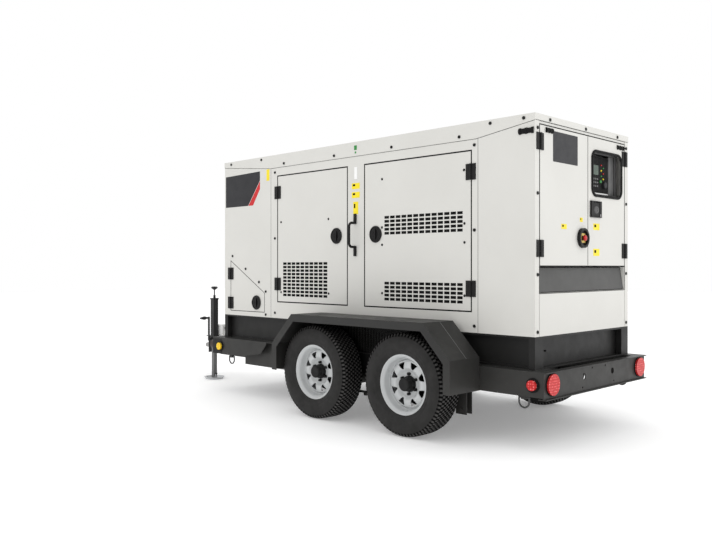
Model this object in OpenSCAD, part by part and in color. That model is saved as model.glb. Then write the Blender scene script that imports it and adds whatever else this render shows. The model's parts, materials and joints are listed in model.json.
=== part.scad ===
// Towable diesel generator on a tandem-axle trailer.
// Lengths are in millimetres. Inside the modules x runs forward from the rear face of the
// canopy, y runs to the left and z runs up from the ground. place() moves the finished
// pieces so that the origin is on the ground, under the middle of the whole machine.

/* [Canopy] */
// Length of the canopy
canopy_l = 3360; // [3300:10:3400]
// Width of the canopy over its side panels
canopy_w = 1294; // [1284:2:1300]
// Height of the canopy's lower edge above the ground
canopy_z0 = 722; // [718:1:730]
// Height of the roof's top above the ground
canopy_z1 = 2150; // [2140:5:2180]
// Thickness of the canopy's sheet metal
sheet_t = 3; // [2:0.5:3]
// Depth of a door, from its skin to the edge of its folded flange
door_depth = 35; // [25:1:38]
// Gap between a door and its opening
door_gap = 4; // [3:0.5:5]

/* [Doors and grilles] */
// Lower edge of the side doors
door_z0 = 870; // [865:1:880]
// Upper edge of the side doors
door_z1 = 1957; // [1940:1:1960]
// Rear edge of the rear side door
door_a_x0 = 501; // [495:1:510]
// Front edge of the rear side door
door_a_x1 = 1507; // [1500:1:1510]
// Rear edge of the front side door
door_b_x0 = 1708; // [1700:1:1715]
// Front edge of the front side door
door_b_x1 = 2569; // [2560:1:2575]
// Distance between grille slots along the door
slot_pitch_x = 57.2; // [54:0.1:60]
// Distance between grille slots up the door
slot_pitch_z = 30; // [28:0.5:31]
// Width of a grille slot
slot_w = 47; // [40:1:50]
// Height of a grille slot
slot_h = 21; // [15:1:24]

/* [Trailer] */
// Outer face of the side rails, from the middle of the machine
rail_y = 707; // [705:1:709]
// Top of the trailer frame
frame_z1 = 511; // [505:1:515]
// Bottom of the main rails
frame_z0 = 339; // [330:1:345]
// Outer face of the fenders, from the middle of the machine
fender_y = 1026; // [1010:1:1040]
// Top of the fenders
fender_z = 801; // [790:1:810]
// Sheet thickness of the fenders
fender_t = 4; // [3:0.5:5]
// Diameter of the eye in the lunette ring
lunette_d = 76.2; // [70:0.1:80]
// Front end of the lunette ring, from the canopy's rear face
hitch_front = 4602; // [4590:1:4610]
// Rear end of the tail lamps, from the canopy's rear face
lamp_rear = -118; // [-122:1:-114]

/* [Running gear] */
// Radius of the tyre
tyre_r = 359; // [350:1:362]
// Width of the tyre
tyre_w = 224; // [215:1:230]
// Middle of the tyre, from the middle of the machine
tyre_y = 858; // [856:1:862]
// Rear axle, from the canopy's rear face
axle_rear_x = 857; // [850:1:860]
// Front axle, from the canopy's rear face
axle_front_x = 1769; // [1765:1:1775]
// Drop from the spindles down to the axle tube
axle_drop = 102; // [95:1:105]
// Distance from the axle to each spring eye
spring_half = 320; // [315:1:322]
// Height of the spring eyes
spring_eye_z = 200; // [196:1:204]
// Radius of the wheel spindle
spindle_r = 22; // [20:0.5:24]
// Radial clearance of pins and shafts that turn
fit = 0.06; // [0.03:0.01:0.09]

/* [Jack] */
// Jack leg, from the canopy's rear face
jack_x = 4086; // [4080:1:4090]
// Jack leg, from the middle of the machine
jack_y = 268; // [266:1:272]
// Side of the jack's square outer tube
jack_w = 56; // [54:1:60]
// Side of the jack's square leg
jack_leg_w = 40; // [38:1:42]
// Top of the jack's outer tube
jack_z1 = 843; // [820:1:860]

/* [Hidden] */
$fn = 48;

origin_x = (hitch_front + lamp_rear) / 2;
half_w = canopy_w / 2;
post_d = 40;                    // depth of the canopy's posts and rails
opening_gap = door_gap / 2;     // from a hinge axis to the door's edge
hinge_off = 8;                  // from the panel's surface out to the hinge axis
hinge_h = 110;                  // height of a hinge
hinge_w = 41;                   // width of one hinge leaf
knuckle_r = 7.5;
hinge_pin_r = 3;
axis_a = door_a_x0 - opening_gap;   // hinge axis of the rear side doors
axis_b = door_b_x1 + opening_gap;   // hinge axis of the front side doors
service_x1 = 3262;              // front edge of the service door
axis_s = service_x1 + opening_gap;
rear_door_y = 588;              // outer edge of the rear doors
rear_split_l = -36;             // inner edge of the left rear door
rear_split_r = -40;             // inner edge of the right rear door
rear_z0 = 1178;
rear_z1 = 2081;
axis_r = rear_door_y + opening_gap;
side_hinge_z = [1020, 1817];
rear_hinge_z = [1287, 1974];
service_hinge_z = [835, 1107];
latch_r = 64;
latch_shaft_r = 8;
latch_z = 1418;
latch_a_x = 1393;
latch_b_x = 1826;
service_latch_at = [2872, 848];
rail_web = 6;
rail_w = 64;
main_y1 = rail_y - rail_w;      // outer face of the main rails
main_y0 = main_y1 - 60;
rail_z0 = 349;
bumper_x = -100;
bumper_z = [336, 510];
mid_x = (axle_rear_x + axle_front_x) / 2;
spring_y = 675;
tube_r = 38;
tube_z = tyre_r - axle_drop;
eq_arm = mid_x - axle_rear_x - spring_half;   // reach of the equalizer
eq_pivot_z = 282;
ring_r = 37;                    // mean radius of a tie-down ring
ring_rod = 6;
ring_z = 338;
ring_y = spring_y;
ring_x = [62, 3210];
estop_at = [47, 1368];
rear_latch_at = [-140, 1576];
window_y = [-537, -89];
window_z = [1671, 1993];
exhaust_at = [3000, -200];

module place() translate([-origin_x, 0, 0]) children();

// A box between two corners
module block(lo, hi) translate(lo) cube(hi - lo);

// The same piece on the left and on the right
module both_sides() for (s = [0, 1]) mirror([0, s, 0]) children();

// A plate with its outline in the x-z plane, from y0 to y1
module side_plate(points, y0, y1)
    translate([0, y1, 0]) rotate([90, 0, 0]) linear_extrude(y1 - y0) polygon(points);

module rod_x(r, x0, x1, y, z) translate([x0, y, z]) rotate([0, 90, 0]) cylinder(r = r, h = x1 - x0);
module rod_y(r, y0, y1, x, z) translate([x, y0, z]) rotate([-90, 0, 0]) cylinder(r = r, h = y1 - y0);
module rod_z(r, z0, z1, x, y) translate([x, y, z0]) cylinder(r = r, h = z1 - z0);

// ---------------------------------------------------------------- trailer frame

// A rail with a C section: its web is at y1 and its flanges point inwards to y0
module channel_rail(x0, x1, y0, y1, z0, z1, t) {
    block([x0, y1 - t, z0], [x1, y1, z1]);
    block([x0, y0, z0], [x1, y1, z0 + t]);
    block([x0, y0, z1 - t], [x1, y1, z1]);
}

cross_x = [560, 1253, 2180, 2700, 3360];
cross_w = 60;

module main_frame() color("dimgray") place() {
    both_sides() {
        channel_rail(-60, 3440, main_y0, main_y1, frame_z0, frame_z1, rail_web);
        block([2140, main_y0, frame_z0 - 60], [3047, main_y1, frame_z0]);
    }
    for (x = cross_x)
        block([x, -main_y0 - 20, frame_z0], [x + cross_w, main_y0 + 20, frame_z1 - rail_web]);
}

tongue_a = [3250, 521];
tongue_b = [4450, 40];
tongue_h = 76;
tongue_z1 = frame_z0 + tongue_h;
tongue_angle = atan2(tongue_a.y - tongue_b.y, tongue_b.x - tongue_a.x);
tongue_len = norm(tongue_b - tongue_a);

module tongue() color("dimgray") place() {
    intersection() {
        both_sides()
            translate([tongue_a.x, tongue_a.y, frame_z0]) rotate([0, 0, -tongue_angle])
                translate([-60, -tongue_h / 2, 0]) cube([tongue_len + 120, tongue_h, tongue_h]);
        block([outrigger_x[1], -700, frame_z0], [tongue_b.x - 10, 700, tongue_z1]);
    }
    block([tongue_b.x - 10, -95, channel_z[0] - 8], [tongue_b.x, 95, tongue_z1]);
    block([4300, -125, tongue_z1], [tongue_b.x, 125, tongue_z1 + 6]);
}

channel_z = [243, 365];
channel_x = [tongue_b.x, tongue_b.x + 30];

module hitch_channel() color("dimgray") place() {
    block([channel_x[0], -60, channel_z[0]], [channel_x[0] + 8, 60, channel_z[1]]);
    for (s = [-1, 1])
        translate([0, s * 56, 0])
            block([channel_x[0], -4, channel_z[0]], [channel_x[1], 4, channel_z[1]]);
}

lunette_z = 304;
lunette_t = 41;
lunette_rim = 19;
lunette_x = hitch_front - lunette_d / 2 - lunette_rim;

module lunette_eye() color("gray") place() difference() {
    union() {
        translate([lunette_x, 0, lunette_z]) rotate_extrude()
            polygon([[10, -14], [lunette_d / 2 + lunette_rim - 9, -lunette_t / 2],
                     [lunette_d / 2 + lunette_rim, -11], [lunette_d / 2 + lunette_rim, 11],
                     [lunette_d / 2 + lunette_rim - 9, lunette_t / 2], [10, lunette_t / 2 - 6]]);
        translate([lunette_x, 0, lunette_z]) cylinder(r = lunette_d / 2 + 10, h = lunette_t, center = true);
        block([channel_x[0] + 8, -24, lunette_z - 17], [lunette_x - 20, 24, lunette_z + 17]);
        block([channel_x[0] + 8, -44, lunette_z - 50], [channel_x[0] + 18, 44, lunette_z + 50]);
    }
    rod_z(lunette_d / 2, lunette_z - 30, lunette_z + 30, lunette_x, 0);
}

outrigger_x = [2661, 3470];
outrigger_z = [354, 508];

module ring_lug(x) difference() {
    block([x - 16, ring_y - 12, ring_z - 11], [x + 16, ring_y + 12, rail_z0 + 8]);
    rod_x(ring_rod + fit, x - 17, x + 17, ring_y, ring_z);
}

module side_rails() color("dimgray") place() both_sides() {
    channel_rail(bumper_x + 8, 2230, main_y1, rail_y, rail_z0, frame_z1 - 1, rail_web);
    side_plate([[outrigger_x[0], 488], [2742, 398], [3030, outrigger_z[0]],
                [outrigger_x[1], outrigger_z[0]], [outrigger_x[1], outrigger_z[1]],
                [outrigger_x[0], outrigger_z[1]]], rail_y - rail_web, rail_y);
    block([2230, main_y1, outrigger_z[1] - rail_web], [outrigger_x[1], rail_y, outrigger_z[1]]);
    block([3030, main_y1, outrigger_z[0]], [outrigger_x[1], rail_y, outrigger_z[0] + rail_web]);
    block([outrigger_x[1] - 30, 0, outrigger_z[0]], [outrigger_x[1], rail_y, outrigger_z[1]]);
    for (x = ring_x) ring_lug(x);
}

bumper_hook_r = 22;
bumper_bolt_r = 7;

module rear_bumper() color("dimgray") place() difference() {
    union() {
        block([bumper_x, -rail_y, bumper_z[0]], [bumper_x + 8, rail_y, bumper_z[1]]);
        for (z = [bumper_z[0], bumper_z[1] - 6])
            block([bumper_x - 18, -rail_y, z], [-60, rail_y, z + 6]);
    }
    for (s = [-1, 1]) {
        rod_x(bumper_hook_r, bumper_x - 1, bumper_x + 9, s * 200, 440);
        rod_x(bumper_bolt_r, bumper_x - 1, bumper_x + 9, s * 93, 487);
        rod_x(bumper_bolt_r, bumper_x - 1, bumper_x + 9, s * 222, 367);
        // the side rails butt against the web between the flanges
        translate([0, s * (rail_y - rail_w / 2), 0])
            block([bumper_x + 8, -rail_w / 2 - 1, bumper_z[0] + 6], [0, rail_w / 2 + 1, bumper_z[1] + 1]);
    }
}

// Outline of the fender arch, pulled in by d
function arch(d) = [
    [386 + d, 348], [386 + d, 569 - 0.41 * d], [608 + 0.41 * d, fender_z - d],
    [1944 - 0.41 * d, fender_z - d], [2183 - d, 559 - 0.41 * d], [2183 - d, 348]];

module arch_plate(d0, d1, y0, y1) translate([0, y1, 0]) rotate([90, 0, 0])
    linear_extrude(y1 - y0) difference() {
        polygon(arch(d0));
        translate([0, -1]) polygon(arch(d1));
    }

module fenders() color("dimgray") place() both_sides() {
    arch_plate(0, fender_t, rail_y, fender_y);
    arch_plate(fender_t, 56, fender_y - fender_t, fender_y);
    side_plate([[390, frame_z1 + 5], [390, 567], [610, fender_z - 4], [1942, fender_z - 4],
                [2179, 557], [2179, frame_z1 + 5]], rail_y, rail_y + fender_t);
}

// ---------------------------------------------------------------- lamps

tail_lamp_r = 68;

module tail_lamp(y) {
    rod_x(tail_lamp_r + 5, bumper_x - 6, bumper_x, y, 429);
    rod_x(tail_lamp_r, lamp_rear, bumper_x - 6, y, 429);
}

module side_marker(x, z) {
    rod_y(46, rail_y, rail_y + 10, x, z);
    rod_y(33, rail_y + 10, rail_y + 24, x, z);
}

module red_lamps() color("red") place() both_sides() {
    tail_lamp(612);
    side_marker(-23, 426);
}

module amber_lamps() color("orange") place() both_sides() {
    side_marker(3347, 426);
    rod_x(50, outrigger_x[1], outrigger_x[1] + 20, 652, 430);
    rod_x(44, outrigger_x[1] + 20, outrigger_x[1] + 66, 652, 430);
}

// ---------------------------------------------------------------- suspension

hanger_bolt_r = 8;
spring_eye_r = 16;

spring_w = 45;

// Two cheek plates under a top plate, with the bolt that holds a spring eye
module hanger(x, z_pin) {
    for (s = [-1, 1])
        translate([x, spring_y + s * 29, 0])
            block([-45, -3, z_pin - 31], [45, 3, rail_z0]);
    block([x - 45, spring_y - 32, rail_z0 - 6], [x + 45, spring_y + 32, rail_z0]);
    rod_y(hanger_bolt_r, spring_y - 32, spring_y + 32, x, z_pin);
    for (s = [-1, 1]) rod_y(13, spring_y + s * 37 - 5, spring_y + s * 37 + 5, x, z_pin);
}

module spring_hangers() color("dimgray") place() both_sides() {
    hanger(axle_rear_x - spring_half, spring_eye_z);
    hanger(axle_front_x + spring_half, spring_eye_z);
    for (s = [-1, 1])
        translate([mid_x, spring_y + s * 29, 0])
            block([-40, -3, eq_pivot_z - 30], [40, 3, rail_z0]);
    rod_y(hanger_bolt_r, spring_y - 32, spring_y + 32, mid_x, eq_pivot_z);
}

eq_plate_t = 3;
eq_plate_y = spring_w / 2 + eq_plate_t / 2 + 0.2;   // middle of a plate, from the spring's middle

module equalizers() color("gray") place() both_sides() difference() {
    union() {
        for (s = [-1, 1])
            side_plate([[mid_x - eq_arm - 16, 212], [mid_x - 26, 268], [mid_x - 22, 302],
                        [mid_x + 22, 302], [mid_x + 26, 268], [mid_x + eq_arm + 16, 212],
                        [mid_x + eq_arm + 16, 186], [mid_x, 244], [mid_x - eq_arm - 16, 186]],
                       spring_y + s * eq_plate_y - eq_plate_t / 2,
                       spring_y + s * eq_plate_y + eq_plate_t / 2);
        rod_y(24, spring_y - eq_plate_y, spring_y + eq_plate_y, mid_x, eq_pivot_z);
        for (s = [-1, 1]) {
            rod_y(hanger_bolt_r, spring_y - 32, spring_y + 32, mid_x + s * eq_arm, spring_eye_z);
            for (t = [-1, 1])
                rod_y(13, spring_y + t * 30 - 5, spring_y + t * 30 + 5, mid_x + s * eq_arm, spring_eye_z);
        }
    }
    rod_y(hanger_bolt_r + fit, spring_y - 30, spring_y + 30, mid_x, eq_pivot_z);
}

leaf_t = 8;
leaf_top = tube_z - tube_r - 6;
leaf_lengths = [2 * spring_half - 60, 470, 340, 210];

// Leaf pack with an eye at each end
module spring_pack(x) difference() {
    union() {
        for (i = [0 : 3])
            block([x - leaf_lengths[i] / 2, spring_y - spring_w / 2, leaf_top - leaf_t * (i + 1)],
                  [x + leaf_lengths[i] / 2, spring_y + spring_w / 2, leaf_top - leaf_t * i]);
        for (s = [-1, 1]) {
            rod_y(spring_eye_r, spring_y - spring_w / 2, spring_y + spring_w / 2,
                  x + s * spring_half, spring_eye_z);
            side_plate([[x + s * (spring_half - 34), leaf_top - leaf_t],
                        [x + s * (spring_half - 34), leaf_top],
                        [x + s * spring_half, spring_eye_z + spring_eye_r],
                        [x + s * (spring_half - 4), spring_eye_z]],
                       spring_y - spring_w / 2, spring_y + spring_w / 2);
        }
        block([x - 45, spring_y - 34, leaf_top - 4 * leaf_t - 10],
              [x + 45, spring_y + 34, leaf_top - 4 * leaf_t]);
        block([x - 40, spring_y - 30, leaf_top], [x + 40, spring_y + 30, leaf_top + 6]);
        for (sx = [-1, 1], sy = [-1, 1])
            rod_z(6, leaf_top - 4 * leaf_t - 24, leaf_top + 40, x + sx * 36 + sx * tube_r * 0.25,
                  spring_y + sy * 29);
    }
    for (s = [-1, 1])
        rod_y(hanger_bolt_r + fit, spring_y - 40, spring_y + 40, x + s * spring_half, spring_eye_z);
}

module axle(x) {
    rod_y(tube_r, -720, 720, x, tube_z);
    both_sides() {
        block([x - 34, rail_y + 3, tube_z - 34], [x + 34, 728, tyre_r + 34]);
        rod_y(spindle_r, 728, 893, x, tyre_r);
        rod_y(30, 728, 742, x, tyre_r);
    }
}

module rear_axle() color("dimgray") place() axle(axle_rear_x);
module front_axle() color("dimgray") place() axle(axle_front_x);
module rear_springs() color("dimgray") place() both_sides() spring_pack(axle_rear_x);
module front_springs() color("dimgray") place() both_sides() spring_pack(axle_front_x);

// ---------------------------------------------------------------- wheels

bead_r = 190.5;
rim_w = 152;
stud_circle_r = 69.85;
nut_r = 14;

module tyre(x, side) place() mirror([0, side < 0 ? 1 : 0, 0])
    translate([x, tyre_y, tyre_r]) rotate([-90, 0, 0]) rotate_extrude($fn = 96)
        polygon([[bead_r, -70], [bead_r + 14, -80], [bead_r + 50, -106], [268, -tyre_w / 2],
                 [300, -tyre_w / 2 + 2], [335, -100], [350, -92], [tyre_r - 2, -84],
                 [tyre_r, -70], [tyre_r, -26], [tyre_r - 9, -25], [tyre_r - 9, -17], [tyre_r, -16],
                 [tyre_r, 16], [tyre_r - 9, 17], [tyre_r - 9, 25], [tyre_r, 26], [tyre_r, 70],
                 [tyre_r - 2, 84], [350, 92], [335, 100], [300, tyre_w / 2 - 2],
                 [268, tyre_w / 2], [bead_r + 50, 106], [bead_r + 14, 80], [bead_r, 70]]);

module rim_profile() polygon([
    [bead_r, -70], [bead_r + 14, -80], [bead_r + 18, -86], [bead_r + 12, -86], [bead_r + 8, -80],
    [bead_r - 5, -72], [bead_r - 5, -30], [164, -24], [164, 6], [152, 14], [108, 34], [84, 22], [84, 8],
    [54, 4], [54, 10], [80, 14], [80, 27], [106, 41], [156, 21], [170, 12],
    [170, -17], [bead_r - 3, -22], [bead_r - 5, 72], [bead_r + 8, 80],
    [bead_r + 12, 86], [bead_r + 18, 86], [bead_r + 14, 80], [bead_r, 70]]);

module wheel(x, side) place() mirror([0, side < 0 ? 1 : 0, 0])
    translate([x, tyre_y, tyre_r]) rotate([-90, 0, 0]) difference() {
        union() {
            difference() {
                rotate_extrude($fn = 96) rim_profile();
                for (i = [0 : 7]) rotate(i * 45 + 12) translate([130, 0, 0]) cylinder(r = 13, h = 60);
            }
            translate([0, 0, -110]) cylinder(r = 150, h = 64, $fn = 64);
            translate([0, 0, -46]) cylinder(r = 84, h = 52);
            translate([0, 0, 6]) cylinder(r = 41, h = 62);
            translate([0, 0, 68]) cylinder(r = 33, h = 12);
            for (i = [0 : 5]) rotate(i * 60) translate([stud_circle_r, 0, 6]) {
                cylinder(r = nut_r, h = 24, $fn = 6);
                cylinder(r = 6, h = 30);
            }
        }
        translate([0, 0, -111]) cylinder(r = spindle_r + fit, h = 148);
    }

// ---------------------------------------------------------------- jack

jack_wall = 5;
jack_z0 = 331;
leg_clear = 1.5;
crank_z = 418;

module jack_tube() color("dimgray") place() difference() {
    translate([jack_x, jack_y, 0]) union() {
        block([-jack_w / 2, -jack_w / 2, jack_z0], [jack_w / 2, jack_w / 2, jack_z1]);
        block([-jack_w / 2 - 4, -jack_w / 2 - 4, jack_z1 - 14], [jack_w / 2 + 4, jack_w / 2 + 4, jack_z1]);
        block([-66, -130, tongue_z1], [66, jack_w / 2, tongue_z1 + 14]);
        rod_y(20, jack_w / 2, jack_w / 2 + 14, 0, crank_z);
    }
    translate([jack_x, jack_y, 0]) {
        block([-jack_w / 2 + jack_wall, -jack_w / 2 + jack_wall, jack_z0 + 6],
              [jack_w / 2 - jack_wall, jack_w / 2 - jack_wall, jack_z1 - 10]);
        block([-jack_leg_w / 2 - leg_clear, -jack_leg_w / 2 - leg_clear, jack_z0 - 1],
              [jack_leg_w / 2 + leg_clear, jack_leg_w / 2 + leg_clear, jack_z0 + 7]);
        rod_z(6 + fit, jack_z1 - 11, jack_z1 + 1, 0, 0);
        rod_y(9 + fit, jack_w / 2 - jack_wall - 1, jack_w / 2 + 15, 0, crank_z);
    }
}

module jack_leg() color("silver") place() translate([jack_x, jack_y, 0]) {
    difference() {
        block([-jack_leg_w / 2, -jack_leg_w / 2, 8], [jack_leg_w / 2, jack_leg_w / 2, 590]);
        block([-jack_leg_w / 2 + 5, -jack_leg_w / 2 + 5, 400], [jack_leg_w / 2 - 5, jack_leg_w / 2 - 5, 591]);
    }
    rotate_extrude() polygon([[0, 0], [88, 0], [106, 22], [101, 22], [84, 6], [0, 8]]);
    rod_x(6, -48, 42, 0, 56);
}

crank_throw = 220;

module jack_crank() color("dimgray") place() translate([jack_x, jack_y, 0]) {
    rod_y(9, jack_w / 2 - jack_wall - 2, jack_w / 2 + 46, 0, crank_z);
    rod_y(15, jack_w / 2 + 15, jack_w / 2 + 36, 0, crank_z);
    block([-12, jack_w / 2 + 36, crank_z - 16], [12, jack_w / 2 + 46, crank_z + crank_throw + 12]);
    translate([0, jack_w / 2 + 46, crank_z + crank_throw]) rotate([-90, 0, 0]) rotate_extrude()
        polygon([[0, 0], [9, 0], [11, 26], [18, 44], [18, 56], [8, 100], [0, 100]]);
}

module jack_plunger() color("dimgray") place() translate([jack_x, jack_y, 0]) {
    rod_z(6, jack_z1 - 60, jack_z1 + 96, 0, 0);
    translate([0, 0, jack_z1 + 88]) rotate_extrude()
        polygon([[0, 0], [14, 0], [34, 16], [34, 24], [26, 32], [0, 34]]);
    rod_z(12, jack_z1 + 0.5, jack_z1 + 30, 0, 0);
}

// ---------------------------------------------------------------- tie-down rings

// The side of the ring at x = side; it hangs from a straight rod that turns in its lug
module tie_ring(x, side) color("gray") place() mirror([0, side < 0 ? 1 : 0, 0])
    translate([x, ring_y, ring_z]) {
        rod_x(ring_rod, -ring_r, ring_r, 0, 0);
        for (s = [-1, 1]) {
            translate([s * ring_r, 0, 0]) sphere(r = ring_rod);
            translate([s * ring_r, 0, -29]) cylinder(r = ring_rod, h = 29);
        }
        translate([0, 0, -29]) rotate([90, 180, 0]) rotate_extrude(angle = 180)
            translate([ring_r, 0]) circle(r = ring_rod);
    }

// ---------------------------------------------------------------- skid base

module skid_base() color("dimgray") place() {
    difference() {
        block([50, -600, frame_z1], [3310, 600, canopy_z0]);
        block([60, -590, frame_z1 + 12], [3300, 590, canopy_z0 - 3]);
    }
    for (x = [0, canopy_l - 45]) both_sides()
        block([x, 543, frame_z1], [x + 45, half_w, canopy_z0]);
    both_sides() {
        block([0, 600, canopy_z0 - 14], [canopy_l, half_w, canopy_z0]);
        block([50, 600, frame_z1], [canopy_l - 50, 612, frame_z1 + 14]);
    }
    block([0, -543, canopy_z0 - 14], [50, 543, canopy_z0]);
    block([canopy_l - 50, -543, canopy_z0 - 14], [canopy_l, 543, canopy_z0]);
    block([0, -543, frame_z1], [50, 543, frame_z1 + 8]);
    rod_x(6, 22, 50, 470, 620);
}

// ---------------------------------------------------------------- canopy

side_post_x = [[441, axis_a - opening_gap], [door_a_x1 + 3, door_b_x0 - 3], [axis_b + opening_gap, 2667]];

module side_frame() {
    block([441, half_w - post_d, canopy_z0], [2667, half_w, door_z0 - 4]);
    block([441, half_w - post_d, door_z1 + 3], [2667, half_w, canopy_z1 - sheet_t]);
    for (p = side_post_x)
        block([p[0], half_w - post_d, canopy_z0], [p[1], half_w, canopy_z1 - sheet_t]);
}

flap_top = [30, 1158];
flap_bottom = [8, 1006];
flap_w = 586;
flap_pin_r = 5;
flap_axis_x = flap_top.x + 2;

module canopy_frame() color("whitesmoke") place() {
    both_sides() {
        side_frame();
        difference() {
            block([sheet_t, flap_w + 3, 990], [60, 600, flap_top.y + 10]);
            rod_y(flap_pin_r + fit, flap_w + 2, flap_w + 9, flap_axis_x, flap_top.y);
        }
        for (x = [sheet_t, canopy_l - sheet_t - 40])
            block([x, 600, canopy_z0], [x + 40, half_w - sheet_t, canopy_z1 - sheet_t]);
    }
    block([sheet_t, -600, rear_z1 + 3], [43, 600, canopy_z1 - sheet_t]);
    block([sheet_t, -600, canopy_z0], [43, 600, canopy_z0 + 40]);
    block([sheet_t, -600, flap_top.y + 10], [60, 600, rear_z0 - 3]);
}

skirt_z = [2105, 2038];

module roof() color("whitesmoke") place() difference() {
    union() {
        block([-sheet_t, -half_w - sheet_t, canopy_z1 - sheet_t],
              [canopy_l + sheet_t, half_w + sheet_t, canopy_z1]);
        both_sides()
            side_plate([[-sheet_t, canopy_z1], [-sheet_t, skirt_z[0]], [457, skirt_z[1]],
                        [2667, skirt_z[1]], [canopy_l + sheet_t, skirt_z[0]],
                        [canopy_l + sheet_t, canopy_z1]], half_w, half_w + sheet_t);
        for (x = [-sheet_t, canopy_l])
            block([x, -half_w - sheet_t, skirt_z[0] + 4], [x + sheet_t, half_w + sheet_t, canopy_z1]);
    }
    rod_z(46, canopy_z1 - 10, canopy_z1 + 10, exhaust_at.x, exhaust_at.y);
    for (i = [0 : 9])
        block([2720 + i * 56, 40, canopy_z1 - 10], [2750 + i * 56, 560, canopy_z1 + 10]);
}

service_outline = [[service_x1, 1222], [2762, 935], [2762, 768], [service_x1, 766]];
service_hole = [[axis_s + 3, 1230], [2758, 938], [2758, 763], [axis_s + 3, 762]];

module fixed_panels() color("whitesmoke") place() {
    // rear side panels, folded round the corner onto the rear face
    both_sides() {
        block([0, half_w - sheet_t, canopy_z0], [441, half_w, canopy_z1 - sheet_t]);
        block([0, 597, canopy_z0], [sheet_t, half_w, canopy_z1 - sheet_t]);
        block([canopy_l - sheet_t, 597, canopy_z0], [canopy_l, half_w, canopy_z1 - sheet_t]);
    }
    // front side panels
    difference() {
        block([2667, half_w - sheet_t, canopy_z0], [canopy_l, half_w, canopy_z1 - sheet_t]);
        side_plate(service_hole, half_w - 10, half_w + 10);
    }
    block([2667, -half_w, canopy_z0], [canopy_l, -half_w + sheet_t, canopy_z1 - sheet_t]);
    // lower rear panel, below the cable flap
    block([0, -592, canopy_z0], [sheet_t, 592, 1001]);
    // front wall with louvres for the radiator
    difference() {
        block([canopy_l - sheet_t, -596, canopy_z0], [canopy_l, 596, canopy_z1 - sheet_t]);
        for (i = [0 : 15], s = [-1, 0, 1])
            block([canopy_l - 5, s * 350 - 150, 900 + i * 62], [canopy_l + 1, s * 350 + 150, 930 + i * 62]);
    }
}

// ---------------------------------------------------------------- hinges

// Hinge about the z axis. The panel's surface is at y = -hinge_off. The fixed leaf and its
// pin are on the -x side and the moving leaf is on the +x side.
module leaf_plate() block([knuckle_r + 1, -hinge_off, -hinge_h / 2], [hinge_w, -2, hinge_h / 2]);

module hinge_fixed() {
    mirror([1, 0, 0]) {
        leaf_plate();
        block([0, -hinge_off + 1, -18], [knuckle_r + 2, -2, 18]);
    }
    cylinder(r = knuckle_r, h = 36, center = true, $fn = 32);
    cylinder(r = hinge_pin_r, h = hinge_h - 2, center = true, $fn = 24);
}

module hinge_moving() difference() {
    union() {
        leaf_plate();
        for (s = [-1, 1]) translate([0, 0, s * 37]) {
            cylinder(r = knuckle_r, h = 36, center = true, $fn = 32);
            block([0, -hinge_off + 1, -18], [knuckle_r + 2, -2, 18]);
        }
    }
    cylinder(r = hinge_pin_r + fit, h = hinge_h + 2, center = true, $fn = 24);
}

// Hinge places: on the side at axis x, with the door ahead of the axis or behind it
module side_hinges(x, heights, ahead) for (z = heights)
    translate([x, half_w + hinge_off, z]) mirror([ahead ? 0 : 1, 0, 0]) children();

module rear_hinges() for (z = rear_hinge_z)
    translate([-hinge_off, axis_r, z]) rotate([0, 0, 90]) mirror([1, 0, 0]) children();

module hinge_leaves() color([0.12, 0.12, 0.12]) place() {
    both_sides() {
        side_hinges(axis_a, side_hinge_z, true) hinge_fixed();
        side_hinges(axis_b, side_hinge_z, false) hinge_fixed();
        rear_hinges() hinge_fixed();
    }
    side_hinges(axis_s, service_hinge_z, false) hinge_fixed();
}

// ---------------------------------------------------------------- doors

// A door made as a tray: a skin with a folded flange all round
module side_tray(x0, x1, z0, z1) difference() {
    block([x0, half_w - door_depth, z0], [x1, half_w, z1]);
    block([x0 + sheet_t, half_w - door_depth - 1, z0 + sheet_t],
          [x1 - sheet_t, half_w - sheet_t, z1 - sheet_t]);
}

module slots(x0, z0, nx, nz) for (i = [0 : nx - 1], j = [0 : nz - 1])
    translate([x0 + i * slot_pitch_x, half_w - 20, z0 + j * slot_pitch_z])
        cube([slot_w, 30, slot_h]);

module side_door_a() difference() {
    union() {
        side_tray(door_a_x0, door_a_x1, door_z0, door_z1);
        side_hinges(axis_a, side_hinge_z, true) hinge_moving();
    }
    slots(569, 1412, 13, 5);
    slots(569, 916, 13, 5);
    rod_y(latch_shaft_r + fit, half_w - 10, half_w + 1, latch_a_x, latch_z);
}

module side_door_b() difference() {
    union() {
        side_tray(door_b_x0, door_b_x1, door_z0, door_z1);
        side_hinges(axis_b, side_hinge_z, false) hinge_moving();
    }
    slots(1937, 917, 10, 10);
    rod_y(latch_shaft_r + fit, half_w - 10, half_w + 1, latch_b_x, latch_z);
}

module door_left_rear() color("whitesmoke") place() side_door_a();
module door_right_rear() color("whitesmoke") place() mirror([0, 1, 0]) side_door_a();
module door_left_front() color("whitesmoke") place() side_door_b();
module door_right_front() color("whitesmoke") place() mirror([0, 1, 0]) side_door_b();

module service_door() color("whitesmoke") place() difference() {
    union() {
        side_plate(service_outline, half_w - 4, half_w);
        side_hinges(axis_s, service_hinge_z, false) hinge_moving();
    }
    rod_y(latch_shaft_r + fit, half_w - 10, half_w + 1, service_latch_at.x, service_latch_at.y);
}

module rear_tray(y0, y1) difference() {
    block([0, y0, rear_z0], [door_depth, y1, rear_z1]);
    block([sheet_t, y0 + sheet_t, rear_z0 + sheet_t], [door_depth + 1, y1 - sheet_t, rear_z1 - sheet_t]);
}

module rear_door_left() color("whitesmoke") place() difference() {
    union() {
        rear_tray(rear_split_l, rear_door_y);
        rear_hinges() hinge_moving();
    }
    rod_x(14, -1, sheet_t + 1, estop_at.x, estop_at.y);
}

window_round = 60;

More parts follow.
